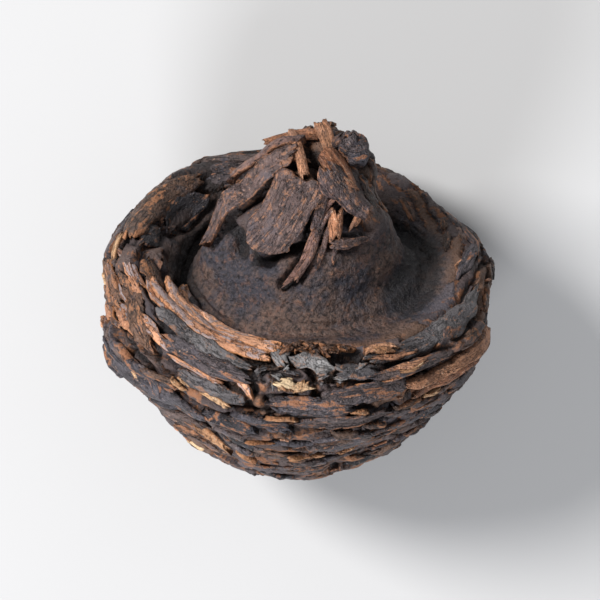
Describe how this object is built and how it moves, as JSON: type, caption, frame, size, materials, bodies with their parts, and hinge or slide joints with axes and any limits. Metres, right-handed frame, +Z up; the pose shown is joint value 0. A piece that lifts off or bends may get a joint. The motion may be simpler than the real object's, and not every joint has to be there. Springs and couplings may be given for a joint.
{
  "type": "mushroom-shaped tea",
  "caption": "Lump of dark tea leaves pressed into a mushroom: domed cap with a rolled rim, a hollow inside it, and a stem ending in a torn tuft of stalks.",
  "frame": {"origin": "on the small flat spot that the lump lies on, straight below the middle of the cap's widest level", "axes": "+Z up from the flat spot, +Y towards the end of the stem seen from above, +X to the right, along the cap's width"},
  "size_m": [0.0401, 0.0367, 0.0352],
  "materials": {
    "pressed_leaf": "near-black brown pressed tea leaf with blue-grey leaf faces, orange-brown torn edges and a soft waxy sheen"
  },
  "bodies": {
    "root": {"pressed_tea": "pressed_leaf"}
  },
  "joints": []
}
